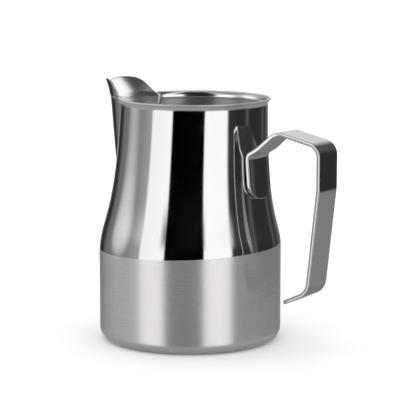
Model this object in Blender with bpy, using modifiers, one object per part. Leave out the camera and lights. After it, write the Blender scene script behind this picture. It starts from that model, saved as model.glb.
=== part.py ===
"""A milk frothing pitcher: a drawn steel body, a pressed pouring spout and a bent strip handle.

Metres, +Z up. The origin is the centre of the base on the table, +X runs to the handle and -X to the spout.
"""

import math

import bmesh
import bpy

# Body
BASE_RADIUS = 0.0437
CORNER_RADIUS = 0.0055
WALL = 0.0008
FLOOR = 0.0012
SHOULDER_HEIGHT = 0.0422
SHOULDER_SOFTNESS = 0.032
BELL_SWEEP = 2.87
NECK_RADIUS = 0.0348
BELL_HEIGHT = 0.1130
LIP_RADIUS = 0.0365
LIP_HEIGHT = 0.1155
LIP_FLARE_POWER = 1.8
LEAN_FROM = 0.0460
LEAN_RATE = 0.040
LEAN_EASING = 0.004
SEGMENTS = 80

# Spout
SEAM_BOTTOM = 0.0570
SEAM_HALF_WIDTH = 0.0155
SEAM_POWER = 0.75
SEAM_GAP = 0.00075
KEEL_REACH = 0.0056
KEEL_POWER = 0.8
KEEL_FLARE_FROM = 0.1110
KEEL_FLARE = 20.0
SPOUT_TIP_HEIGHT = 0.1214
SPOUT_CREST_HEIGHT = 0.1233
SPOUT_CREST_AT = 0.44
SPOUT_FALL_POWER = 1.75
NOSE_SHARE = 0.20
CHEEK_SHARE = 0.88
NOSE_BACK = 0.02
CHEEK_BACK = 0.54
LEAST_HALF_WIDTH = 0.0004
LEAST_REACH = 0.0001
WELD_RADIUS = 0.00025
WELD_START = 0.0007

# Handle
HANDLE_WIDTH = 0.0160
PAD_WIDTH = 0.0180
HANDLE_THICKNESS = 0.0018
PAD_CURVE_RADIUS = 0.0376
PAD_FOOT = (0.03965, 0.0706)
PAD_TOP = (0.0381, 0.0913)
TOP_CORNER = (0.05275, 0.1040)
GRIP_TOP = (0.0768, 0.0987)
GRIP_KNEE = (0.0768, 0.0785)
GRIP_BOTTOM = (0.07125, 0.0298)
TAIL_END = (0.0573, 0.0232)
BEND_RADII = (0.0040, 0.0080, 0.0068, 0.0250, 0.0085)
PAD_ROUNDING = 0.0075
TAIL_ROUNDING = 0.0025
TAIL_END_SHARE = 0.65
PAD_UNCURL = 0.008
PAD_UNCURL_LEAD = 0.001
HANDLE_STATION_SPACING = 0.0035
HALF_CHORD = 0.0006


def clear_scene():
    for item in list(bpy.data.objects):
        bpy.data.objects.remove(item)


def collection(name):
    made = bpy.data.collections.new(name)
    bpy.context.scene.collection.children.link(made)
    return made


def material(name, colour, roughness):
    made = bpy.data.materials.new(name)
    made.use_nodes = True
    shader = made.node_tree.nodes["Principled BSDF"]
    shader.inputs["Base Color"].default_value = (*colour, 1.0)
    shader.inputs["Roughness"].default_value = roughness
    shader.inputs["Metallic"].default_value = 1.0
    made.diffuse_color = (*colour, 1.0)
    return made


def link(obj, group, finish=None):
    group.objects.link(obj)
    if finish:
        obj.data.materials.append(finish)
    return obj


def baked(obj):
    """The object's shape with its modifiers applied, as a new mesh."""
    bpy.context.view_layer.update()
    graph = bpy.context.evaluated_depsgraph_get()
    mesh = bpy.data.meshes.new_from_object(obj.evaluated_get(graph), depsgraph=graph)
    mesh.transform(obj.matrix_world)
    return mesh


def shade(obj, angle=35.0):
    for face in obj.data.polygons:
        face.use_smooth = True
    obj.data.set_sharp_from_angle(angle=math.radians(angle))


# --- body -------------------------------------------------------------------

def bell_radius(height):
    """Outer radius of the wall: a cylinder, a rounded shoulder and a concave bell up to the flared lip."""
    if height <= SHOULDER_HEIGHT:
        return BASE_RADIUS
    if height <= BELL_HEIGHT:
        rise = (height - SHOULDER_HEIGHT) / (BELL_HEIGHT - SHOULDER_HEIGHT)
        turn = rise * rise / (rise * rise + SHOULDER_SOFTNESS)
        fall = (1.0 - math.exp(-BELL_SWEEP * rise)) / (1.0 - math.exp(-BELL_SWEEP))
        return BASE_RADIUS - (BASE_RADIUS - NECK_RADIUS) * turn * fall
    rise = min(1.0, (height - BELL_HEIGHT) / (LIP_HEIGHT - BELL_HEIGHT))
    return NECK_RADIUS + (LIP_RADIUS - NECK_RADIUS) * rise ** LIP_FLARE_POWER


def lean(height):
    """How far the neck's centre sits towards the handle."""
    over = max(0.0, height - LEAN_FROM)
    return LEAN_RATE * over * over / (over + LEAN_EASING)


def wall_profile():
    """Outer wall from the base centre up to the lip."""
    points = [(0.0, 0.0), (0.018, 0.0), (0.031, 0.0)]
    for i in range(7):
        angle = math.radians(15.0 * i)
        out = BASE_RADIUS - CORNER_RADIUS * (1.0 - math.sin(angle))
        points.append((out, CORNER_RADIUS * (1.0 - math.cos(angle))))
    heights = [0.016, 0.028, 0.038]
    heights += [SHOULDER_HEIGHT + 0.0020 * i for i in range(12)]
    heights += [0.0690 + 0.0050 * i for i in range(9)]
    heights += [0.1118, 0.1130, 0.1137, 0.1143, 0.1149, LIP_HEIGHT]
    points += [(bell_radius(height), height) for height in heights]
    return points


def inset(points, distance):
    """The profile moved inwards along its normals."""
    moved = []
    for i, (radius, height) in enumerate(points):
        before = points[max(0, i - 1)]
        after = points[min(len(points) - 1, i + 1)]
        run, rise = after[0] - before[0], after[1] - before[1]
        length = math.hypot(run, rise)
        moved.append((max(0.0, radius - distance * rise / length), height + distance * run / length))
    return moved


def make_body(group, cutters, finish):
    outer = wall_profile()
    inner = inset(outer, WALL)
    inner = [(radius, max(height, FLOOR)) for radius, height in inner]
    profile = list(reversed(outer + list(reversed(inner))))
    mesh = bpy.data.meshes.new("body_profile")
    edges = [(i, i + 1) for i in range(len(profile) - 1)]
    mesh.from_pydata([(radius, 0.0, height) for radius, height in profile], edges, [])
    turned = bpy.data.objects.new("body_turned", mesh)
    cutters.objects.link(turned)
    screw = turned.modifiers.new("Screw", 'SCREW')
    screw.steps = SEGMENTS
    screw.render_steps = SEGMENTS
    screw.use_merge_vertices = True
    screw.merge_threshold = 0.00002
    body = bpy.data.objects.new("pitcher_body", baked(turned))
    bpy.data.objects.remove(turned)
    for vertex in body.data.vertices:
        vertex.co.x += lean(vertex.co.z)
    link(body, group, finish)
    cut = body.modifiers.new("Spout notch", 'BOOLEAN')
    cut.operation = 'DIFFERENCE'
    cut.solver = 'EXACT'
    cut.object = notch_cutter(cutters)
    opened = baked(body)
    body.modifiers.clear()
    body.data = opened
    if not opened.materials:
        opened.materials.append(finish)
    shade(body)
    return body


# --- spout ------------------------------------------------------------------

def seam_half_width(height, offset=0.0):
    """Half the width of the V at a height; a positive offset widens the V."""
    bottom = SEAM_BOTTOM - offset
    share = max(0.0, (height - bottom) / (BELL_HEIGHT - bottom))
    return (SEAM_HALF_WIDTH + offset) * min(1.0, share) ** SEAM_POWER


def seam_height(half_width, offset=0.0):
    bottom = SEAM_BOTTOM - offset
    share = half_width / (SEAM_HALF_WIDTH + offset)
    return bottom + (BELL_HEIGHT - bottom) * share ** (1.0 / SEAM_POWER)


def neck_x(height, side, depth=0.0):
    """X of the neck's wall on the spout side, a distance to the side of the middle."""
    radius = bell_radius(height) - depth
    return lean(height) - math.sqrt(radius * radius - side * side)


def notch_cutter(cutters):
    """A V-shaped prism that opens the neck for the spout."""
    widest = SEAM_HALF_WIDTH + SEAM_GAP
    sides = [widest * (i / 14.0) for i in range(15)]
    right = [(side, seam_height(side, SEAM_GAP)) for side in sides]
    right.append((widest, LIP_HEIGHT + 0.01))
    left = [(-side, height) for side, height in reversed(right[1:])]
    curve = bpy.data.curves.new("spout_notch", 'CURVE')
    curve.dimensions = '2D'
    curve.fill_mode = 'BOTH'
    curve.extrude = 0.020
    spline = curve.splines.new('POLY')
    points = right + left
    spline.points.add(len(points) - 1)
    for point, (side, height) in zip(spline.points, points):
        point.co = (side, height, 0.0, 1.0)
    spline.use_cyclic_u = True
    prism = bpy.data.objects.new("spout_notch_curve", curve)
    prism.rotation_euler = (math.radians(90.0), 0.0, math.radians(90.0))
    prism.location = (-0.040, 0.0, 0.0)
    cutters.objects.link(prism)
    cutter = bpy.data.objects.new("spout_notch", baked(prism))
    bpy.data.objects.remove(prism)
    joined = bmesh.new()
    joined.from_mesh(cutter.data)
    bmesh.ops.remove_doubles(joined, verts=joined.verts, dist=0.000001)
    bmesh.ops.recalc_face_normals(joined, faces=joined.faces)
    joined.to_mesh(cutter.data)
    joined.free()
    cutter.hide_render = True
    cutter.display_type = 'WIRE'
    cutters.objects.link(cutter)
    return cutter


def keel_x(height):
    """X of the spout's keel: it leaves the bell gently, climbs nearly straight and flares at the tip."""
    start = neck_x(SEAM_BOTTOM, 0.0)
    share = max(0.0, (height - SEAM_BOTTOM) / (BELL_HEIGHT - SEAM_BOTTOM))
    flare = KEEL_FLARE * max(0.0, height - KEEL_FLARE_FROM) ** 2
    return start - KEEL_REACH * share ** KEEL_POWER - flare


def spout_top(share):
    """Height of the free edge from the tip (0) over the crest to the neck (1)."""
    if share < SPOUT_CREST_AT:
        climb = math.sin(0.5 * math.pi * share / SPOUT_CREST_AT) ** 2
        return SPOUT_TIP_HEIGHT + (SPOUT_CREST_HEIGHT - SPOUT_TIP_HEIGHT) * climb
    run = (share - SPOUT_CREST_AT) / (1.0 - SPOUT_CREST_AT)
    fall = math.cos(0.5 * math.pi * run ** SPOUT_FALL_POWER) ** 2
    return LIP_HEIGHT + (SPOUT_CREST_HEIGHT - LIP_HEIGHT) * fall


def spout_point(share, height):
    """A point of the spout's outer face at a height, from the keel (0) round to the seam (1)."""
    side = max(LEAST_HALF_WIDTH, seam_half_width(height, -SEAM_GAP))
    x_seam = neck_x(height, side)
    x_keel = min(keel_x(height), x_seam - LEAST_REACH)
    reach = x_seam - x_keel
    corners = (
        (x_keel, 0.0),
        (x_keel + NOSE_BACK * reach, NOSE_SHARE * side),
        (x_keel + CHEEK_BACK * reach, CHEEK_SHARE * side),
        (x_seam, side),
    )
    rest = 1.0 - share
    weights = (rest ** 3, 3 * rest * rest * share, 3 * rest * share * share, share ** 3)
    x = sum(weight * corner[0] for weight, corner in zip(weights, corners))
    y = sum(weight * corner[1] for weight, corner in zip(weights, corners))
    return x, y


def make_spout(group, finish):
    """A loft from the point of the V up to the waved free edge, given its wall by Solidify."""
    shares = [i / 12.0 for i in range(-12, 13)]
    low = SEAM_BOTTOM + SEAM_GAP + LEAST_HALF_WIDTH
    levels = [low + (BELL_HEIGHT - low) * (i / 22.0) ** 1.3 for i in range(23)]
    vertices = []
    rows = [[level] * len(shares) for level in levels]
    for i in range(1, 7):
        rows.append([BELL_HEIGHT + (spout_top(abs(share)) - BELL_HEIGHT) * i / 6.0 for share in shares])
    for row in rows:
        for share, height in zip(shares, row):
            x, y = spout_point(abs(share), height)
            vertices.append((x, math.copysign(y, share), height))
    faces = []
    wide = len(shares)
    for row in range(len(rows) - 1):
        for column in range(wide - 1):
            first = row * wide + column
            faces.append((first, first + wide, first + wide + 1, first + 1))
    mesh = bpy.data.meshes.new("pour_spout")
    mesh.from_pydata(vertices, [], faces)
    mesh.update()
    spout = link(bpy.data.objects.new("pour_spout", mesh), group, finish)
    shell = spout.modifiers.new("Wall", 'SOLIDIFY')
    shell.thickness = WALL
    shell.offset = -1.0
    shell.use_even_offset = True
    spout.data = baked(spout)
    spout.modifiers.clear()
    shade(spout)
    return spout


def make_weld(name, way, group, finish):
    """A thin weld bead in the seam, from the foot of the V up to the lip."""
    curve = bpy.data.curves.new(name, 'CURVE')
    curve.dimensions = '3D'
    curve.bevel_depth = WELD_RADIUS
    curve.bevel_resolution = 1
    curve.use_fill_caps = True
    spline = curve.splines.new('POLY')
    count = 26
    points = []
    for i in range(count):
        side = WELD_START + (SEAM_HALF_WIDTH - WELD_START) * i / (count - 1)
        height = seam_height(side)
        points.append((neck_x(height, side, WALL / 2.0), way * side, height))
    spline.points.add(count - 1)
    for point, place in zip(spline.points, points):
        point.co = (*place, 1.0)
    guide = bpy.data.objects.new(name + "_guide", curve)
    group.objects.link(guide)
    weld = bpy.data.objects.new(name, baked(guide))
    bpy.data.objects.remove(guide)
    link(weld, group, finish)
    shade(weld, 60.0)
    return weld


# --- handle -----------------------------------------------------------------

def rounded_path(corners, radii, spacing):
    """A polyline with its inner corners replaced by arcs, as (x, z) points."""
    path = [corners[0]]
    for i, radius in enumerate(radii):
        before, corner, after = corners[i], corners[i + 1], corners[i + 2]
        into = (corner[0] - before[0], corner[1] - before[1])
        away = (after[0] - corner[0], after[1] - corner[1])
        into = (into[0] / math.hypot(*into), into[1] / math.hypot(*into))
        away = (away[0] / math.hypot(*away), away[1] / math.hypot(*away))
        turn = math.atan2(into[0] * away[1] - into[1] * away[0], into[0] * away[0] + into[1] * away[1])
        back = radius * math.tan(abs(turn) / 2.0)
        hand = math.copysign(1.0, turn)
        start = (corner[0] - into[0] * back, corner[1] - into[1] * back)
        centre = (start[0] - hand * into[1] * radius, start[1] + hand * into[0] * radius)
        first = math.atan2(start[1] - centre[1], start[0] - centre[0])
        steps = max(4, round(math.degrees(abs(turn)) / 9.0))
        for step in range(steps + 1):
            angle = first + turn * step / steps
            path.append((centre[0] + radius * math.cos(angle), centre[1] + radius * math.sin(angle)))
    path.append(corners[-1])
    dense = [path[0]]
    for before, after in zip(path, path[1:]):
        length = math.dist(before, after)
        parts = max(1, round(length / spacing))
        for part in range(1, parts + 1):
            share = part / parts
            dense.append(tuple(a + (b - a) * share for a, b in zip(before, after)))
    return dense


def end_width(run, rounding):
    """Share of the full width, a distance in from a rounded end."""
    if run >= rounding:
        return 1.0
    return math.sqrt(1.0 - (1.0 - run / rounding) ** 2)


def make_handle(group, finish):
    """One bent strip: a pad curved to the neck, a raised top, a grip and a free tail.

    The path runs along the face that lies on the neck, which becomes the outside of the loop.
    """
    corners = [PAD_FOOT, PAD_TOP, TOP_CORNER, GRIP_TOP, GRIP_KNEE, GRIP_BOTTOM, TAIL_END]
    path = rounded_path(corners, BEND_RADII, HANDLE_STATION_SPACING)
    foot = [PAD_ROUNDING * share for share in (0.02, 0.10, 0.25, 0.45, 0.70, 1.0)]
    tail = [TAIL_ROUNDING * share for share in (1.0, 0.55, 0.25, 0.06)]
    runs = [0.0]
    for before, after in zip(path, path[1:]):
        runs.append(runs[-1] + math.dist(before, after))
    total = runs[-1]
    keep = [run for run in runs if PAD_ROUNDING * 1.2 < run < total - TAIL_ROUNDING * 1.2]
    stations = foot + keep + [total - run for run in tail]

    def place(run):
        for i in range(len(runs) - 1):
            if run <= runs[i + 1] or i == len(runs) - 2:
                share = (run - runs[i]) / (runs[i + 1] - runs[i])
                return tuple(a + (b - a) * share for a, b in zip(path[i], path[i + 1]))

    pad_length = math.dist(PAD_FOOT, PAD_TOP)
    columns = [i / 4.0 for i in range(-4, 5)]
    vertices = []
    for run in stations:
        before = place(max(0.0, run - HALF_CHORD))
        after = place(min(total, run + HALF_CHORD))
        along = (after[0] - before[0], after[1] - before[1])
        length = math.hypot(*along)
        out = (-along[1] / length, along[0] / length)
        centre = place(run)
        taper = min(1.0, max(0.0, (run - pad_length) / math.dist(PAD_TOP, TOP_CORNER)))
        wide = 0.5 * (PAD_WIDTH + (HANDLE_WIDTH - PAD_WIDTH) * taper)
        tail_share = TAIL_END_SHARE + (1.0 - TAIL_END_SHARE) * end_width(total - run, TAIL_ROUNDING)
        wide *= min(end_width(run, PAD_ROUNDING), tail_share)
        curl = min(1.0, max(0.0, 1.0 - (run - pad_length + PAD_UNCURL_LEAD) / PAD_UNCURL))
        loop = []
        for column in columns:
            side = column * wide
            sag = curl * (PAD_CURVE_RADIUS - math.sqrt(PAD_CURVE_RADIUS ** 2 - side * side))
            loop.append((sag, side))
        for sag, side in loop:
            vertices.append((centre[0] + out[0] * sag, side, centre[1] + out[1] * sag))
        for sag, side in reversed(loop):
            depth = sag - HANDLE_THICKNESS
            vertices.append((centre[0] + out[0] * depth, side, centre[1] + out[1] * depth))
    around = 2 * len(columns)
    faces = []
    for row in range(len(stations) - 1):
        for i in range(around):
            a = row * around + i
            b = row * around + (i + 1) % around
            faces.append((a, b, b + around, a + around))
    last = (len(stations) - 1) * around
    for i in range(len(columns) - 1):
        facing = around - 1 - i
        faces.append((i, facing, facing - 1, i + 1))
        faces.append((last + i, last + i + 1, last + facing - 1, last + facing))
    mesh = bpy.data.meshes.new("handle")
    mesh.from_pydata(vertices, [], faces)
    mesh.update()
    tidy = bmesh.new()
    tidy.from_mesh(mesh)
    bmesh.ops.recalc_face_normals(tidy, faces=tidy.faces)
    tidy.to_mesh(mesh)
    tidy.free()
    handle = link(bpy.data.objects.new("handle", mesh), group, finish)
    shade(handle)
    return handle


clear_scene()
PITCHER = collection("milk_frothing_pitcher")
CUTTERS = collection("cutters")
polished = material("polished_steel", (0.60, 0.60, 0.62), 0.08)
brushed = material("brushed_steel", (0.56, 0.56, 0.58), 0.32)
weld_metal = material("weld_steel", (0.50, 0.49, 0.49), 0.40)
strip = material("handle_steel", (0.58, 0.58, 0.60), 0.14)
make_body(PITCHER, CUTTERS, brushed)
make_spout(PITCHER, polished)
make_weld("spout_weld_left", 1.0, PITCHER, weld_metal)
make_weld("spout_weld_right", -1.0, PITCHER, weld_metal)
make_handle(PITCHER, strip)
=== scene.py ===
"""The looks of the milk frothing pitcher: fine steel surfaces, a studio and the camera.

Metres, +Z up, in the frame's own axes: the origin is the centre of the base, +X runs to the handle
and -X to the spout. The shapes repeat the driving dimensions of the CAD part.
"""

import math

import bpy
from mathutils import Matrix, Vector


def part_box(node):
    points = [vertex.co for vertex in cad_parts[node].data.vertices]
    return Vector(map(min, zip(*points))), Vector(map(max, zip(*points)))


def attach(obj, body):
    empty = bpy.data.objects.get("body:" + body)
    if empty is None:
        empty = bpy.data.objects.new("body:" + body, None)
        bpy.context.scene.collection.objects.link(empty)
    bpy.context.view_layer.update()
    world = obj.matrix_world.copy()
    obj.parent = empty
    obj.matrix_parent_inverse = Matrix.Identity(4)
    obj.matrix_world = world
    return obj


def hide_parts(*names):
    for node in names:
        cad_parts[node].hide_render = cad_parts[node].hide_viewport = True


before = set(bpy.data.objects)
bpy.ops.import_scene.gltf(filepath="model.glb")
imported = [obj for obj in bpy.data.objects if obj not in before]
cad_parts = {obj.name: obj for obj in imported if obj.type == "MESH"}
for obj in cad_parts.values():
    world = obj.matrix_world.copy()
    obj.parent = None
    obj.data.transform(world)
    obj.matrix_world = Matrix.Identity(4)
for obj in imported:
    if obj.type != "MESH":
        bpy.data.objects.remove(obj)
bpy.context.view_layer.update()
BODY_LOW, BODY_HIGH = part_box("pitcher_body")

# Camera and studio, with angles in degrees
CAMERA_TURN = 35.0
CAMERA_DISTANCE = 0.850
CAMERA_HEIGHT = 0.1998
CAMERA_YAW = 0.40
CAMERA_PITCH = 9.0
CAMERA_LENS = 159.2
CAMERA_SENSOR = 36.0
FLOOR_SIZE = 8.0
FLOOR_DROP = 0.0002

# Body
BASE_RADIUS = (BODY_HIGH.y - BODY_LOW.y) / 2.0
CORNER_RADIUS = 0.0055
WALL = 0.0008
FLOOR_THICKNESS = 0.0012
SHOULDER_HEIGHT = 0.0422
SHOULDER_SOFTNESS = 0.032
BELL_SWEEP = 2.87
NECK_RADIUS = 0.0348
BELL_HEIGHT = 0.1130
LIP_RADIUS = 0.0365
LIP_HEIGHT = 0.1155
LIP_FLARE_POWER = 1.8
RIM_RISE = 0.0005
LIP_START = 0.0003
LEAN_FROM = 0.0460
LEAN_RATE = 0.040
LEAN_EASING = 0.004
POLISH_HEIGHT = 0.0450
POLISH_FROM = POLISH_HEIGHT - 0.0002
POLISH_TILT = 0.035
POLISH_TILT_REACH = 0.006
BODY_COLUMNS = 288
CORNER_STEPS = 14
HAIR = 0.00001

# Material slots of the body, in order
OUTER_SATIN, OUTER_POLISH, INNER_WALL, LIP_UNDERSIDE, INNER_FLARE = range(5)

# Spout and its seams
SEAM_BOTTOM = 0.0570
SEAM_HALF_WIDTH = 0.0155
SEAM_POWER = 0.75
SEAM_EDGE = 0.0003
KEEL_REACH = 0.0056
KEEL_POWER = 0.8
KEEL_FLARE_FROM = 0.1110
KEEL_FLARE = 20.0
SPOUT_TIP_HEIGHT = 0.1214
SPOUT_CREST_HEIGHT = 0.1233
SPOUT_CREST_AT = 0.44
SPOUT_FALL_POWER = 1.75
NOSE_SHARE = 0.20
CHEEK_SHARE = 0.88
NOSE_BACK = 0.02
CHEEK_BACK = 0.54
LEAST_HALF_WIDTH = 0.0004
LEAST_REACH = 0.0001
SPOUT_HALF_COLUMNS = 56
SPOUT_LEVELS = 70
SPOUT_LEVEL_EASING = 1.3
SPOUT_TOP_LEVELS = 22
SPOUT_EDGE_STEPS = 10
WELD_HALF_WIDTH = 0.00045
WELD_PROUD = 0.00008
WELD_DROP = 0.0002
WELD_STATIONS = 90
WELD_EASING = 1.25
WELD_TIP_STATIONS = 5.0
WELD_SIDES = 16

# Handle
HANDLE_WIDTH = 0.0160
PAD_WIDTH = 0.0180
HANDLE_THICKNESS = 0.0018
HANDLE_EDGE = 0.00045
PAD_CURVE_RADIUS = 0.0376
PAD_FOOT = (0.03965, 0.0706)
PAD_TOP = (0.0381, 0.0913)
TOP_CORNER = (0.05275, 0.1040)
GRIP_TOP = (0.0768, 0.0987)
GRIP_KNEE = (0.0768, 0.0785)
GRIP_BOTTOM = (0.07125, 0.0298)
TAIL_END = (0.0573, 0.0232)
BEND_RADII = (0.0040, 0.0080, 0.0068, 0.0250, 0.0085)
PAD_ROUNDING = 0.0075
TAIL_ROUNDING = 0.0025
TAIL_END_SHARE = 0.65
PAD_UNCURL = 0.008
PAD_UNCURL_LEAD = 0.001
HANDLE_STATION_SPACING = 0.0015
BEND_STEP = 3.0

# The studio as the steel sees it: (azimuth from the camera in degrees, brightness) in four bands of
# elevation, with one plain brightness under them and one over them
AT_EYE_LEVEL = (
    (-180, 0.75), (-170, 0.75), (-164, 0.12), (-156, 0.06), (-148, 0.02), (-140, 0.10), (-134, 0.20),
    (-120, 0.24), (-109, 0.28), (-97, 0.31), (-85, 0.33), (-75, 0.42), (-68, 0.50), (-66, 1.28),
    (-34, 1.38), (-33, 0.0), (16, 0.0), (17, 1.40), (51, 1.40), (55, 0.05), (72, 0.030), (84, 0.035),
    (90, 0.12), (96, 0.035), (126, 0.035), (132, 0.11), (140, 0.04), (154, 0.12), (168, 0.36),
    (180, 0.75),
)
BELOW = (
    (-180, 0.55), (-150, 0.30), (-134, 0.26), (-100, 0.36), (-68, 0.50), (-66, 1.28), (-34, 1.38),
    (-33, 0.0), (16, 0.0), (17, 1.40), (51, 1.40), (56, 0.30), (120, 0.30), (150, 0.25), (168, 0.25),
    (180, 0.45),
)
ABOVE = (
    (-180, 1.10), (-150, 0.40), (-125, 0.65), (-100, 0.85), (-80, 0.65), (-66, 1.28), (-42, 1.38),
    (-36, 0.0), (17, 0.0), (20, 1.40), (55, 1.30), (60, 0.10), (140, 0.10), (158, 0.60), (180, 1.10),
)
HIGH_UP = (
    (-180, 0.05), (-165, 0.10), (-150, 0.40), (-125, 0.40), (-100, 0.30), (-80, 0.30), (-66, 0.45),
    (-42, 0.50), (-36, 0.0), (30, 0.0), (36, 0.45), (56, 1.20), (62, 0.08), (180, 0.05),
)
UNDERNEATH = 0.26
OVERHEAD = 1.05
BELOW_EDGE = (-15.0, -13.0)
ABOVE_EDGE = (4.0, 24.0)
HIGH_EDGE = (36.0, 46.0)
UNDER_EDGE = (-40.0, -26.0)
OVERHEAD_EDGE = (76.0, 86.0)
ROOM_LIGHT = 1.22
GLOW = 0.60
GLOW_AT = (-106.0, 13.0)
GLOW_EDGE = (23.0, 2.0)


def steer(azimuth):
    """Horizontal unit vector at an azimuth: 0 looks along +Y from the front."""
    turn = math.radians(azimuth)
    return Vector((math.sin(turn), -math.cos(turn), 0.0))


TO_CAMERA = steer(CAMERA_TURN)
TO_RIGHT = steer(CAMERA_TURN + 90.0)


# --- materials --------------------------------------------------------------

class Shader:
    """A material whose Principled BSDF is fed by nodes made one after another."""

    def __init__(self, name, metallic=1.0):
        self.material = bpy.data.materials.new(name)
        self.material.use_nodes = True
        self.tree = self.material.node_tree
        self.surface = self.tree.nodes["Principled BSDF"]
        self.surface.inputs["Metallic"].default_value = metallic
        self.place = self.add("ShaderNodeTexCoord").outputs["Object"]

    def add(self, kind, **settings):
        node = self.tree.nodes.new(kind)
        for name, value in settings.items():
            setattr(node, name, value)
        return node

    def feed(self, socket, value):
        """A socket takes a number or tuple as its own value, or a link from an output."""
        if isinstance(value, bpy.types.NodeSocket):
            self.tree.links.new(value, socket)
        else:
            socket.default_value = value

    def math(self, operation, first, second=0.0):
        node = self.add("ShaderNodeMath", operation=operation)
        self.feed(node.inputs[0], first)
        self.feed(node.inputs[1], second)
        return node.outputs[0]

    def noise(self, stretch, detail=3.0, roughness=0.55):
        """Noise between 0 and 1, with its own number of waves per metre along X, Y and Z."""
        mapping = self.add("ShaderNodeMapping")
        self.feed(mapping.inputs["Vector"], self.place)
        self.feed(mapping.inputs["Scale"], stretch)
        node = self.add("ShaderNodeTexNoise")
        self.feed(node.inputs["Vector"], mapping.outputs[0])
        self.feed(node.inputs["Scale"], 1.0)
        self.feed(node.inputs["Detail"], detail)
        self.feed(node.inputs["Roughness"], roughness)
        return node.outputs["Fac"]

    def remap(self, value, low, high, to_low, to_high):
        node = self.add("ShaderNodeMapRange")
        self.feed(node.inputs["Value"], value)
        self.feed(node.inputs["From Min"], low)
        self.feed(node.inputs["From Max"], high)
        self.feed(node.inputs["To Min"], to_low)
        self.feed(node.inputs["To Max"], to_high)
        return node.outputs[0]

    def tint(self, factor, first, second):
        node = self.add("ShaderNodeMix", data_type="RGBA")
        self.feed(node.inputs["Factor"], factor)
        self.feed(node.inputs["A"], (*first, 1.0))
        self.feed(node.inputs["B"], (*second, 1.0))
        return node.outputs["Result"]

    def bump(self, height, distance, strength=1.0, under=None):
        node = self.add("ShaderNodeBump")
        self.feed(node.inputs["Height"], height)
        self.feed(node.inputs["Distance"], distance)
        self.feed(node.inputs["Strength"], strength)
        if under is not None:
            self.feed(node.inputs["Normal"], under)
        return node.outputs["Normal"]

    def set(self, **values):
        for name, value in values.items():
            self.feed(self.surface.inputs[name.replace("_", " ")], value)


def scratches(shader, scale, thin):
    """Sparse hairlines: 1 on a scratch and 0 between them."""
    lines = shader.noise(scale, detail=2.0, roughness=0.5)
    return shader.remap(lines, 0.5 + thin, 0.5 + 2.0 * thin, 0.0, 1.0)


def edge_wear(shader, low=0.515, high=0.60):
    """1 along outward edges, where handling rounds and dulls the polish."""
    return shader.remap(shader.add("ShaderNodeNewGeometry").outputs["Pointiness"], low, high, 0.0, 1.0)


def polished_steel(name, dark, light, least=0.035, most=0.085):
    """Mirror polish with a faint waviness, buffing haze, hairline scratches and worn edges."""
    shader = Shader(name)
    haze = shader.noise((90.0, 90.0, 40.0), detail=4.0)
    hairlines = scratches(shader, (260.0, 260.0, 2600.0), 0.13)
    roughness = shader.remap(haze, 0.3, 0.75, least, most)
    roughness = shader.math("ADD", roughness, shader.math("MULTIPLY", hairlines, 0.05))
    roughness = shader.math("ADD", roughness, shader.math("MULTIPLY", edge_wear(shader), 0.10))
    waves = shader.noise((55.0, 55.0, 24.0), detail=1.0)
    normal = shader.bump(waves, 0.000012)
    normal = shader.bump(hairlines, 0.0000012, under=normal)
    shader.set(Base_Color=shader.tint(haze, dark, light), Roughness=roughness, Normal=normal)
    return shader.material


def satin_steel(name, dark, light, least, most, grain=0.00000015, anisotropy=0.55, metallic=0.74):
    """Satin brushing that runs round the pitcher's axis, with a fine uneven grain. Light scattered in the
    grain is the part that isn't metallic.
    """
    shader = Shader(name, metallic)
    lines = shader.noise((70.0, 70.0, 9000.0), detail=3.0)
    broad = shader.noise((30.0, 30.0, 900.0), detail=3.0)
    smudge = shader.noise((45.0, 45.0, 60.0), detail=4.0)
    grit = shader.noise((5200.0, 5200.0, 5200.0), detail=1.0)
    brushed = shader.math("ADD", shader.math("MULTIPLY", lines, 0.8), shader.math("MULTIPLY", broad, 0.2))
    roughness = shader.remap(brushed, 0.35, 0.65, least, most)
    roughness = shader.math("ADD", roughness, shader.remap(smudge, 0.35, 0.7, -0.003, 0.005))
    normal = shader.bump(lines, grain)
    normal = shader.bump(grit, 0.5 * grain, under=normal)
    shader.set(Base_Color=shader.tint(brushed, dark, light), Roughness=roughness, Normal=normal)
    shader.set(Anisotropic=anisotropy)
    shader.set(Anisotropic_Rotation=0.25)
    tangent = shader.add("ShaderNodeTangent", direction_type="RADIAL", axis="Z")
    shader.feed(shader.surface.inputs["Tangent"], tangent.outputs[0])
    return shader.material


def weld_steel(name):
    """A ground and polished weld: paler and duller than the sheet, with the grinder's ripple."""
    shader = Shader(name, metallic=0.88)
    ripple = shader.noise((420.0, 420.0, 900.0), detail=3.0)
    roughness = shader.remap(ripple, 0.3, 0.7, 0.14, 0.30)
    colour = shader.tint(ripple, (0.58, 0.57, 0.57), (0.72, 0.71, 0.71))
    shader.set(Base_Color=colour, Roughness=roughness, Normal=shader.bump(ripple, 0.000012))
    return shader.material


def floor_paper(name):
    """White seamless paper with a barely visible tooth."""
    shader = Shader(name, metallic=0.0)
    tooth = shader.noise((600.0, 600.0, 600.0), detail=2.0)
    colour = shader.tint(tooth, (0.96, 0.96, 0.96), (0.99, 0.99, 0.99))
    shader.set(Base_Color=colour, Roughness=0.9)
    return shader.material


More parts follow.
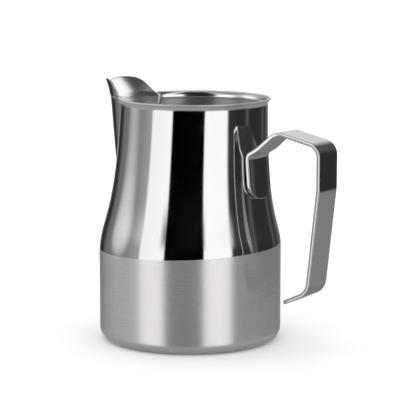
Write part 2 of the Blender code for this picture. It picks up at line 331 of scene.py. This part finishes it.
POLISHED = polished_steel("mirror_polish", (0.655, 0.645, 0.655), (0.705, 0.695, 0.705))
STRIP = polished_steel("polished_strip", (0.63, 0.62, 0.63), (0.70, 0.69, 0.70), least=0.06, most=0.12)
SATIN = satin_steel("satin_brushing", (0.625, 0.601, 0.621), (0.645, 0.621, 0.641), 0.272, 0.284)
INSIDE = satin_steel(
    "satin_inside", (0.730, 0.715, 0.725), (0.790, 0.775, 0.785), 0.50, 0.56, anisotropy=1.0, metallic=0.97
)
SPOUT_INSIDE = satin_steel(
    "spout_satin", (0.730, 0.715, 0.725), (0.790, 0.775, 0.785), 0.20, 0.26, anisotropy=0.5, metallic=0.95
)
LIP_INSIDE = satin_steel(
    "lip_inside", (0.760, 0.750, 0.760), (0.800, 0.790, 0.800), 0.13, 0.18, anisotropy=0.0, metallic=1.0
)
LIP = satin_steel("satin_lip", (0.60, 0.59, 0.60), (0.66, 0.65, 0.66), 0.30, 0.36, anisotropy=0.0)
WELD = weld_steel("ground_weld")


# --- mesh helpers -----------------------------------------------------------

def make_piece(name, vertices, faces, materials, choose=None, sharp=35.0):
    """A smooth-shaded object; choose gives the material slot of a face from its number."""
    mesh = bpy.data.meshes.new(name)
    mesh.from_pydata(vertices, [], faces)
    for material in materials:
        mesh.materials.append(material)
    for polygon in mesh.polygons:
        polygon.use_smooth = True
        if choose:
            polygon.material_index = choose[polygon.index]
    mesh.validate()
    mesh.update()
    mesh.set_sharp_from_angle(angle=math.radians(sharp))
    made = bpy.data.objects.new(name, mesh)
    bpy.context.scene.collection.objects.link(made)
    return made


def smooth_step(value, low, high):
    share = min(1.0, max(0.0, (value - low) / (high - low)))
    return share * share * (3.0 - 2.0 * share)


def spread(start, end, count):
    """Numbers from start to end, with end left out."""
    return [start + (end - start) * i / count for i in range(count)]


# --- body -------------------------------------------------------------------

def bell_radius(height):
    """Outer radius of the wall: a cylinder, a rounded shoulder and a concave bell up to the flared lip."""
    if height <= SHOULDER_HEIGHT:
        return BASE_RADIUS
    if height <= BELL_HEIGHT:
        rise = (height - SHOULDER_HEIGHT) / (BELL_HEIGHT - SHOULDER_HEIGHT)
        turn = rise * rise / (rise * rise + SHOULDER_SOFTNESS)
        fall = (1.0 - math.exp(-BELL_SWEEP * rise)) / (1.0 - math.exp(-BELL_SWEEP))
        return BASE_RADIUS - (BASE_RADIUS - NECK_RADIUS) * turn * fall
    rise = min(1.0, (height - BELL_HEIGHT) / (LIP_HEIGHT - BELL_HEIGHT))
    return NECK_RADIUS + (LIP_RADIUS - NECK_RADIUS) * rise ** LIP_FLARE_POWER


def bell_slope(height, step=0.0001):
    top = min(LIP_HEIGHT, height + step)
    return (bell_radius(top) - bell_radius(height - step)) / (top - height + step)


def inner_radius(height):
    slope = bell_slope(height)
    return bell_radius(height) - WALL * math.sqrt(1.0 + slope * slope)


def lean(height):
    """How far the neck's centre sits towards the handle."""
    over = max(0.0, height - LEAN_FROM)
    return LEAN_RATE * over * over / (over + LEAN_EASING)


def seam_half_width(height, offset=0.0):
    """Half the width of the V at a height; a positive offset widens the V."""
    bottom = SEAM_BOTTOM - offset
    share = max(0.0, (height - bottom) / (BELL_HEIGHT - bottom))
    return (SEAM_HALF_WIDTH + offset) * min(1.0, share) ** SEAM_POWER


def wall_heights():
    """Heights shared by the outer and inner wall, finer where the wall bends or the V opens."""
    heights = spread(CORNER_RADIUS, 0.036, 14)
    heights += spread(0.036, SEAM_BOTTOM - SEAM_EDGE, 38)
    heights += spread(SEAM_BOTTOM - SEAM_EDGE, SEAM_BOTTOM + 0.004, 14)
    heights += spread(SEAM_BOTTOM + 0.004, BELL_HEIGHT, 64)
    heights += spread(BELL_HEIGHT, LIP_HEIGHT, 14)
    return heights + [LIP_HEIGHT]


def body_profile():
    """(radius, height) from the outer base centre over the rim to the inner floor's centre."""
    heights = wall_heights()
    outer = [(share * (BASE_RADIUS - CORNER_RADIUS), 0.0) for share in spread(0.0, 1.0, 8)]
    for angle in spread(0.0, 0.5 * math.pi, CORNER_STEPS):
        out = BASE_RADIUS - CORNER_RADIUS * (1.0 - math.sin(angle))
        outer.append((out, CORNER_RADIUS * (1.0 - math.cos(angle))))
    first_wall = len(outer)
    outer += [(bell_radius(height), height) for height in heights]
    middle = 0.5 * (LIP_RADIUS + inner_radius(LIP_HEIGHT))
    half = LIP_RADIUS - middle
    rim = []
    for angle in spread(0.0, math.pi, CORNER_STEPS)[1:]:
        rim.append((middle + half * math.cos(angle), LIP_HEIGHT + RIM_RISE * math.sin(angle)))
    inner = [(inner_radius(height), height) for height in reversed(heights)]
    inside_corner = CORNER_RADIUS - FLOOR_THICKNESS
    hub = BASE_RADIUS - WALL - inside_corner
    floor = []
    for angle in spread(0.5 * math.pi, 0.0, CORNER_STEPS)[1:]:
        out = hub + inside_corner * math.sin(angle)
        floor.append((out, CORNER_RADIUS - inside_corner * math.cos(angle)))
    floor += [(share * hub, FLOOR_THICKNESS) for share in spread(1.0, 0.0, 8)]
    points = outer + rim + inner + floor
    return points, first_wall, len(heights), len(rim)


def body_point(radius, height, share):
    """A point of the wall; share 0 to 1 runs round from one side of the V to the other."""
    side = seam_half_width(height, SEAM_EDGE)
    opening = math.asin(min(1.0, side / radius)) if radius > side else 0.0
    if height < SEAM_BOTTOM - SEAM_EDGE:
        opening = 0.0
    angle = opening + (2.0 * math.pi - 2.0 * opening) * share
    out = Vector((-math.cos(angle), math.sin(angle), 0.0))
    near_line = math.exp(-((height - POLISH_HEIGHT) / POLISH_TILT_REACH) ** 2)
    tilt = POLISH_TILT * near_line * radius * out.dot(TO_RIGHT)
    place = out * radius
    return Vector((place.x + lean(height), place.y, height + tilt))


def make_body():
    """The drawn shell as one closed skin, left open in a V where the spout is let in."""
    profile, first_wall, walls, rim = body_profile()
    wide = BODY_COLUMNS + 1
    rows = len(profile)
    closed = [height < SEAM_BOTTOM - SEAM_EDGE + HAIR for _, height in profile]
    vertices = [Vector((0.0, 0.0, 0.0)), Vector((0.0, 0.0, FLOOR_THICKNESS))]
    number = {}
    for row in range(1, rows):
        radius, height = profile[row]
        for column in range(wide):
            if closed[row] and column == wide - 1:
                number[row, column] = number[row, 0]
                continue
            number[row, column] = len(vertices)
            vertices.append(body_point(radius, height, column / BODY_COLUMNS))
    faces = []
    kinds = []
    polish_row = first_wall + sum(height < POLISH_FROM for height in wall_heights())
    first_lip = first_wall + sum(height < BELL_HEIGHT + LIP_START for height in wall_heights())
    last_outer = first_wall + walls + rim

    def kind_of(row):
        if row >= last_outer:
            return INNER_FLARE if profile[row][1] > BELL_HEIGHT + LIP_START else INNER_WALL
        if row >= first_lip:
            return LIP_UNDERSIDE
        return OUTER_POLISH if row >= polish_row else OUTER_SATIN

    for row in range(1, rows - 1):
        for column in range(BODY_COLUMNS):
            a, b = number[row, column], number[row, column + 1]
            c, d = number[row + 1, column + 1], number[row + 1, column]
            faces.append([a, d, c, b])
            kinds.append(kind_of(row))
    for column in range(BODY_COLUMNS):
        faces.append([0, number[1, column], number[1, column + 1]])
        kinds.append(OUTER_SATIN)
        faces.append([1, number[rows - 1, column + 1], number[rows - 1, column]])
        kinds.append(INNER_WALL)
    first_inner = first_wall + walls + rim
    for level in range(walls - 1):
        low, high = first_wall + level, first_wall + level + 1
        if closed[low]:
            continue
        low_in, high_in = first_inner + walls - 1 - level, first_inner + walls - 2 - level
        for column, flip in ((0, False), (wide - 1, True)):
            face = [number[row, column] for row in (low, high, high_in, low_in)]
            faces.append(face[::-1] if flip else face)
            kinds.append(INNER_WALL)
    for column, flip in ((0, False), (wide - 1, True)):
        face = [number[row, column] for row in range(first_wall + walls - 1, first_inner + 1)]
        faces.append(face[::-1] if flip else face)
        kinds.append(INNER_WALL)
    finishes = (SATIN, POLISHED, INSIDE, LIP, LIP_INSIDE)
    body = make_piece("pitcher_shell", vertices, faces, finishes, kinds)
    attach(body, "root")
    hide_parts("pitcher_body")


# --- spout ------------------------------------------------------------------

def neck_x(height, side, depth=0.0):
    """X of the neck's wall on the spout side, at a distance to the side of the middle."""
    radius = bell_radius(height) - depth
    return lean(height) - math.sqrt(radius * radius - side * side)


def keel_x(height):
    """X of the spout's keel: it leaves the bell gently, climbs nearly straight and flares at the tip."""
    start = neck_x(SEAM_BOTTOM, 0.0)
    share = max(0.0, (height - SEAM_BOTTOM) / (BELL_HEIGHT - SEAM_BOTTOM))
    flare = KEEL_FLARE * max(0.0, height - KEEL_FLARE_FROM) ** 2
    return start - KEEL_REACH * share ** KEEL_POWER - flare


def spout_top(share):
    """Height of the free edge from the tip (0) over the crest to the neck (1)."""
    if share < SPOUT_CREST_AT:
        climb = math.sin(0.5 * math.pi * share / SPOUT_CREST_AT) ** 2
        return SPOUT_TIP_HEIGHT + (SPOUT_CREST_HEIGHT - SPOUT_TIP_HEIGHT) * climb
    run = (share - SPOUT_CREST_AT) / (1.0 - SPOUT_CREST_AT)
    fall = math.cos(0.5 * math.pi * run ** SPOUT_FALL_POWER) ** 2
    return LIP_HEIGHT + (SPOUT_CREST_HEIGHT - LIP_HEIGHT) * fall


def spout_point(share, height):
    """A point of the outer face at a height, from one seam (-1) over the keel (0) to the other (1)."""
    side = max(LEAST_HALF_WIDTH, seam_half_width(height, -SEAM_EDGE))
    x_seam = neck_x(height, side)
    x_keel = min(keel_x(height), x_seam - LEAST_REACH)
    reach = x_seam - x_keel
    corners = (
        (x_keel, 0.0),
        (x_keel + NOSE_BACK * reach, NOSE_SHARE * side),
        (x_keel + CHEEK_BACK * reach, CHEEK_SHARE * side),
        (x_seam, side),
    )
    along = abs(share)
    rest = 1.0 - along
    weights = (rest ** 3, 3 * rest * rest * along, 3 * rest * along * along, along ** 3)
    x = sum(weight * corner[0] for weight, corner in zip(weights, corners))
    y = sum(weight * corner[1] for weight, corner in zip(weights, corners))
    return Vector((x, math.copysign(y, share), height))


def spout_inward(share, height, step=0.0004):
    """Unit vector from the outer face into the wall. It turns to the neck's own radius at the seam."""
    around = spout_point(min(1.0, share + 0.01), height) - spout_point(max(-1.0, share - 0.01), height)
    up = spout_point(share, height + step) - spout_point(share, height - step)
    inward = up.cross(around).normalized()
    if inward.x < 0.0:
        inward.negate()
    place = spout_point(share, height)
    radial = Vector((lean(height) - place.x, -place.y, 0.0)).normalized()
    inward = inward.lerp(radial, smooth_step(abs(share), 0.80, 1.0))
    inward.y *= min(1.0, abs(place.y) / (2.5 * WALL))
    return inward.normalized()


def make_spout():
    """The pressed V: an outer and an inner face with a rounded free edge between them."""
    shares = [i / SPOUT_HALF_COLUMNS for i in range(-SPOUT_HALF_COLUMNS, SPOUT_HALF_COLUMNS + 1)]
    wide = len(shares)
    low = SEAM_BOTTOM + SEAM_EDGE + LEAST_HALF_WIDTH
    levels = []
    for i in range(SPOUT_LEVELS + 1):
        levels.append(low + (BELL_HEIGHT - low) * (i / SPOUT_LEVELS) ** SPOUT_LEVEL_EASING)
    rows = [[level] * wide for level in levels]
    half_wall = 0.5 * WALL
    for i in range(1, SPOUT_TOP_LEVELS + 1):
        row = []
        for share in shares:
            top = spout_top(abs(share)) - half_wall
            row.append(BELL_HEIGHT + (top - BELL_HEIGHT) * i / SPOUT_TOP_LEVELS)
        rows.append(row)
    outer = []
    inner = []
    for row in rows:
        outer.append([spout_point(share, height) for share, height in zip(shares, row)])
        inner.append([
            spout_point(share, height) + spout_inward(share, height) * WALL
            for share, height in zip(shares, row)
        ])
    edge = []
    for i in range(1, SPOUT_EDGE_STEPS):
        angle = math.pi * i / SPOUT_EDGE_STEPS
        line = []
        for column in range(wide):
            middle = 0.5 * (outer[-1][column] + inner[-1][column])
            arm = outer[-1][column] - middle
            rise = (outer[-1][column] - outer[-2][column]).normalized()
            line.append(middle + arm * math.cos(angle) + rise * (arm.length * math.sin(angle)))
        edge.append(line)
    grid = outer + edge + inner[::-1]
    vertices = [point for line in grid for point in line]
    count = len(rows)
    faces = []
    kinds = []
    for row in range(len(grid) - 1):
        for column in range(wide - 1):
            first = row * wide + column
            faces.append([first, first + wide, first + wide + 1, first + 1])
            kinds.append(0 if row < count + SPOUT_EDGE_STEPS // 2 - 1 else 1)
    last = (len(grid) - 1) * wide
    for column in range(wide - 1):
        faces.append([column, column + 1, last + column + 1, last + column])
        kinds.append(1)
    for column, flip in ((0, True), (wide - 1, False)):
        for row in range(count - 1):
            a, b = row * wide + column, (row + 1) * wide + column
            c, d = (len(grid) - 2 - row) * wide + column, (len(grid) - 1 - row) * wide + column
            faces.append([a, b, c, d][::-1] if flip else [a, b, c, d])
            kinds.append(1)
        cap = [row * wide + column for row in range(count - 1, count + SPOUT_EDGE_STEPS)]
        faces.append(cap[::-1] if flip else cap)
        kinds.append(1)
    spout = make_piece("pressed_spout", vertices, faces, (POLISHED, SPOUT_INSIDE), kinds)
    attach(spout, "root")
    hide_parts("pour_spout")


def make_weld(name, node, way):
    """A slim ground bead that fills the seam: flush inside and a hair proud outside."""
    count = WELD_STATIONS
    around = WELD_SIDES
    start = SEAM_BOTTOM - WELD_DROP
    top = LIP_HEIGHT + 0.5 * RIM_RISE
    stations = []
    for i in range(count + 1):
        height = start + (top - start) * (i / count) ** WELD_EASING
        side = seam_half_width(height)
        x = neck_x(min(height, LIP_HEIGHT), side, 0.5 * WALL - WELD_PROUD)
        middle = Vector((x, way * side, height))
        stations.append(middle)
    vertices = []
    for i, middle in enumerate(stations):
        along = (stations[min(count, i + 1)] - stations[max(0, i - 1)]).normalized()
        out = Vector((middle.x - lean(middle.z), middle.y, 0.0)).normalized()
        out = (out - along * out.dot(along)).normalized()
        across = along.cross(out)
        slim = end_width(min(i + 0.3, WELD_TIP_STATIONS), WELD_TIP_STATIONS)
        for j in range(around):
            angle = 2.0 * math.pi * j / around
            vertices.append(
                middle
                + out * ((0.5 * WALL + WELD_PROUD) * math.sin(angle) * slim)
                + across * (WELD_HALF_WIDTH * math.cos(angle) * slim)
            )
    faces = []
    for row in range(count):
        for j in range(around):
            a, b = row * around + j, row * around + (j + 1) % around
            faces.append([a, b, b + around, a + around])
    faces.append(list(range(around))[::-1])
    faces.append([count * around + j for j in range(around)])
    weld = make_piece(name, vertices, faces, (WELD,), sharp=60.0)
    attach(weld, "root")
    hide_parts(node)


# --- handle -----------------------------------------------------------------

def strip_path():
    """(x, z, direction angle) along the strip's outer face, with its corners rounded into arcs."""
    corners = [PAD_FOOT, PAD_TOP, TOP_CORNER, GRIP_TOP, GRIP_KNEE, GRIP_BOTTOM, TAIL_END]
    path = []
    begin = Vector(corners[0])
    for i, radius in enumerate(BEND_RADII):
        before, corner, after = (Vector(corners[k]) for k in (i, i + 1, i + 2))
        into = (corner - before).normalized()
        away = (after - corner).normalized()
        turn = math.atan2(into.x * away.y - into.y * away.x, into.dot(away))
        back = radius * math.tan(0.5 * abs(turn))
        hand = math.copysign(1.0, turn)
        start = corner - into * back
        heading = math.atan2(into.y, into.x)
        pieces = max(1, round((start - begin).length / HANDLE_STATION_SPACING))
        for share in spread(0.0, 1.0, pieces):
            point = begin.lerp(start, share)
            path.append((point.x, point.y, heading))
        centre = start + Vector((-into.y, into.x)) * (hand * radius)
        first = math.atan2(start.y - centre.y, start.x - centre.x)
        steps = max(4, round(math.degrees(abs(turn)) / BEND_STEP))
        for share in spread(0.0, 1.0, steps):
            angle = first + turn * share
            x, z = centre.x + radius * math.cos(angle), centre.y + radius * math.sin(angle)
            path.append((x, z, heading + turn * share))
        begin = corner + away * back
    end = Vector(corners[-1])
    heading = math.atan2(end.y - begin.y, end.x - begin.x)
    pieces = round((end - begin).length / HANDLE_STATION_SPACING)
    for share in spread(0.0, 1.0, pieces) + [1.0]:
        point = begin.lerp(end, share)
        path.append((point.x, point.y, heading))
    return path


def end_width(run, rounding):
    """Share of the full width, a distance in from a rounded end."""
    if run >= rounding:
        return 1.0
    return math.sqrt(1.0 - (1.0 - run / rounding) ** 2)


def strip_section(half, shrink):
    """(side, depth) round the strip's section, with rounded edges. The outer face has depth 0."""
    edge = min(HANDLE_EDGE, 0.9 * half)
    flat = half - edge
    section = [(flat * share, shrink) for share in spread(-1.0, 1.0, 16)]
    for centre_depth, side, first in (
        (edge, flat, -90.0),
        (HANDLE_THICKNESS - edge, flat, 0.0),
    ):
        for angle in spread(first, first + 90.0, 5):
            turn = math.radians(angle)
            depth = centre_depth + edge * math.sin(turn)
            section.append((side + edge * math.cos(turn), depth))
    section += [(flat * share, HANDLE_THICKNESS - shrink) for share in spread(1.0, -1.0, 16)]
    for centre_depth, side, first in (
        (HANDLE_THICKNESS - edge, -flat, 90.0),
        (edge, -flat, 180.0),
    ):
        for angle in spread(first, first + 90.0, 5):
            turn = math.radians(angle)
            depth = centre_depth + edge * math.sin(turn)
            section.append((side + edge * math.cos(turn), depth))
    return [(side, min(HANDLE_THICKNESS - shrink, max(shrink, depth))) for side, depth in section]


def make_handle():
    """One bent strip: a pad curved to the neck, a raised top, a grip and a free tail."""
    path = strip_path()
    runs = [0.0]
    for before, after in zip(path, path[1:]):
        runs.append(runs[-1] + math.dist(before[:2], after[:2]))
    total = runs[-1]
    foot = [PAD_ROUNDING * (1.0 - math.cos(math.radians(angle))) for angle in spread(4.0, 90.0, 22)]
    tail = [TAIL_ROUNDING * (1.0 - math.cos(math.radians(angle))) for angle in spread(4.0, 90.0, 10)]
    keep = [run for run in runs if PAD_ROUNDING < run < total - TAIL_ROUNDING]
    stations = foot + keep + [total - run for run in reversed(tail)]

    def place(run):
        for i in range(len(runs) - 1):
            if run <= runs[i + 1] or i == len(runs) - 2:
                share = (run - runs[i]) / max(0.0000001, runs[i + 1] - runs[i])
                return [a + (b - a) * share for a, b in zip(path[i], path[i + 1])]

    pad_length = math.dist(PAD_FOOT, PAD_TOP)
    vertices = []
    around = 0
    for run in stations:
        x, z, heading = place(run)
        out = Vector((-math.sin(heading), 0.0, math.cos(heading)))
        taper = min(1.0, max(0.0, (run - pad_length) / math.dist(PAD_TOP, TOP_CORNER)))
        half = 0.5 * (PAD_WIDTH + (HANDLE_WIDTH - PAD_WIDTH) * smooth_step(taper, 0.0, 1.0))
        tail_share = TAIL_END_SHARE + (1.0 - TAIL_END_SHARE) * end_width(total - run, TAIL_ROUNDING)
        half *= min(end_width(run, PAD_ROUNDING), tail_share)
        curl = 1.0 - smooth_step(run - pad_length + PAD_UNCURL_LEAD, 0.0, PAD_UNCURL)
        near_end = min(run, total - run)
        shrink = 0.0
        if near_end < HANDLE_EDGE:
            shrink = HANDLE_EDGE - math.sqrt(HANDLE_EDGE ** 2 - (HANDLE_EDGE - near_end) ** 2)
        section = strip_section(half, shrink)
        around = len(section)
        for side, depth in section:
            sag = curl * (PAD_CURVE_RADIUS - math.sqrt(PAD_CURVE_RADIUS ** 2 - side * side))
            vertices.append(Vector((x, side, z)) + out * (sag - depth))
    faces = []
    for row in range(len(stations) - 1):
        for i in range(around):
            a, b = row * around + i, row * around + (i + 1) % around
            faces.append([a, a + around, b + around, b])
    faces.append(list(range(around)))
    faces.append([(len(stations) - 1) * around + i for i in range(around)][::-1])
    handle = make_piece("bent_strip_handle", vertices, faces, (STRIP,), sharp=50.0)
    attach(handle, "root")
    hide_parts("handle")


# --- studio -----------------------------------------------------------------

def make_floor():
    mesh = bpy.data.meshes.new("floor")
    half = 0.5 * FLOOR_SIZE
    corners = [(-half, -half), (half, -half), (half, half), (-half, half)]
    mesh.from_pydata([(x, y, -FLOOR_DROP) for x, y in corners], [], [(0, 1, 2, 3)])
    mesh.materials.append(floor_paper("seamless_paper"))
    floor = bpy.data.objects.new("floor", mesh)
    bpy.context.scene.collection.objects.link(floor)
    floor.visible_glossy = False


def band_ramp(tree, around, stops):
    """The studio's walls at one height: brightness against azimuth, as a colour ramp."""
    ramp = tree.nodes.new("ShaderNodeValToRGB")
    tree.links.new(around, ramp.inputs[0])
    elements = ramp.color_ramp.elements
    while len(elements) > 1:
        elements.remove(elements[-1])
    for i, (azimuth, brightness) in enumerate(stops):
        share = (azimuth + 180.0) / 360.0
        element = elements[0] if i == 0 else elements.new(share)
        element.position = share
        element.color = (brightness, brightness, brightness, 1.0)
    return ramp.outputs["Color"]


def make_studio():
    """Soft boxes, black flags and a dark room for glossy rays, and an even white room for the rest."""
    world = bpy.data.worlds.new("studio")
    bpy.context.scene.world = world
    world.use_nodes = True
    tree = world.node_tree
    link = tree.links.new
    tree.nodes.clear()

    def node(kind, **settings):
        made = tree.nodes.new(kind)
        for name, value in settings.items():
            setattr(made, name, value)
        return made

    def step(value, edges):
        """0 below the first angle and 1 above the second, from the sine of the elevation."""
        made = node("ShaderNodeMapRange", interpolation_type="SMOOTHSTEP")
        link(value, made.inputs["Value"])
        made.inputs["From Min"].default_value = math.sin(math.radians(edges[0]))
        made.inputs["From Max"].default_value = math.sin(math.radians(edges[1]))
        return made.outputs[0]

    def blend(factor, first, second):
        made = node("ShaderNodeMix", data_type="RGBA")
        link(factor, made.inputs["Factor"])
        for name, value in (("A", first), ("B", second)):
            socket = made.inputs[name]
            if isinstance(value, float):
                socket.default_value = (value, value, value, 1.0)
            else:
                link(value, socket)
        return made.outputs["Result"]

    turned = node("ShaderNodeVectorRotate", rotation_type="Z_AXIS")
    link(node("ShaderNodeTexCoord").outputs["Generated"], turned.inputs["Vector"])
    turned.inputs["Angle"].default_value = math.radians(90.0 - CAMERA_TURN)
    parts = node("ShaderNodeSeparateXYZ")
    link(turned.outputs[0], parts.inputs[0])
    azimuth = node("ShaderNodeMath", operation="ARCTAN2")
    link(parts.outputs["Y"], azimuth.inputs[0])
    link(parts.outputs["X"], azimuth.inputs[1])
    around = node("ShaderNodeMapRange")
    link(azimuth.outputs[0], around.inputs["Value"])
    around.inputs["From Min"].default_value = -math.pi
    around.inputs["From Max"].default_value = math.pi
    around = around.outputs[0]
    up = parts.outputs["Z"]
    seen = blend(step(up, UNDER_EDGE), UNDERNEATH, band_ramp(tree, around, BELOW))
    seen = blend(step(up, BELOW_EDGE), seen, band_ramp(tree, around, AT_EYE_LEVEL))
    seen = blend(step(up, ABOVE_EDGE), seen, band_ramp(tree, around, ABOVE))
    seen = blend(step(up, HIGH_EDGE), seen, band_ramp(tree, around, HIGH_UP))
    seen = blend(step(up, OVERHEAD_EDGE), seen, OVERHEAD)
    glow_turn, glow_rise = (math.radians(angle) for angle in GLOW_AT)
    near = node("ShaderNodeVectorMath", operation="DOT_PRODUCT")
    link(turned.outputs[0], near.inputs[0])
    near.inputs[1].default_value = (
        math.cos(glow_turn) * math.cos(glow_rise),
        math.sin(glow_turn) * math.cos(glow_rise),
        math.sin(glow_rise),
    )
    spot = node("ShaderNodeMapRange", interpolation_type="SMOOTHSTEP")
    link(near.outputs["Value"], spot.inputs["Value"])
    spot.inputs["From Min"].default_value = math.cos(math.radians(GLOW_EDGE[0]))
    spot.inputs["From Max"].default_value = math.cos(math.radians(GLOW_EDGE[1]))
    spot.inputs["To Max"].default_value = GLOW
    glow = node("ShaderNodeMix", data_type="RGBA", blend_type="ADD")
    glow.inputs["Factor"].default_value = 1.0
    link(seen, glow.inputs["A"])
    link(spot.outputs[0], glow.inputs["B"])
    seen = glow.outputs["Result"]
    rays = node("ShaderNodeLightPath")
    light = blend(rays.outputs["Is Glossy Ray"], ROOM_LIGHT, seen)
    background = node("ShaderNodeBackground")
    link(light, background.inputs["Color"])
    output = node("ShaderNodeOutputWorld")
    link(background.outputs[0], output.inputs["Surface"])
    bpy.context.scene.view_settings.view_transform = "Standard"


def make_camera():
    yaw, pitch = math.radians(CAMERA_YAW), math.radians(CAMERA_PITCH)
    across = TO_RIGHT * math.cos(yaw) + TO_CAMERA * math.sin(yaw)
    level = TO_RIGHT * math.sin(yaw) - TO_CAMERA * math.cos(yaw)
    ahead = level * math.cos(pitch) - Vector((0.0, 0.0, math.sin(pitch)))
    above = across.cross(ahead)
    lens = bpy.data.cameras.new("camera")
    lens.sensor_width = CAMERA_SENSOR
    lens.lens = CAMERA_LENS
    camera = bpy.data.objects.new("camera", lens)
    turn = Matrix((across, above, -ahead)).transposed().to_4x4()
    place = TO_CAMERA * CAMERA_DISTANCE + Vector((0.0, 0.0, CAMERA_HEIGHT))
    camera.matrix_world = Matrix.Translation(place) @ turn
    bpy.context.scene.collection.objects.link(camera)
    bpy.context.scene.camera = camera


make_camera()
make_body()
make_spout()
make_weld("seam_bead_left", "spout_weld_left", 1.0)
make_weld("seam_bead_right", "spout_weld_right", -1.0)
make_handle()
make_floor()
make_studio()
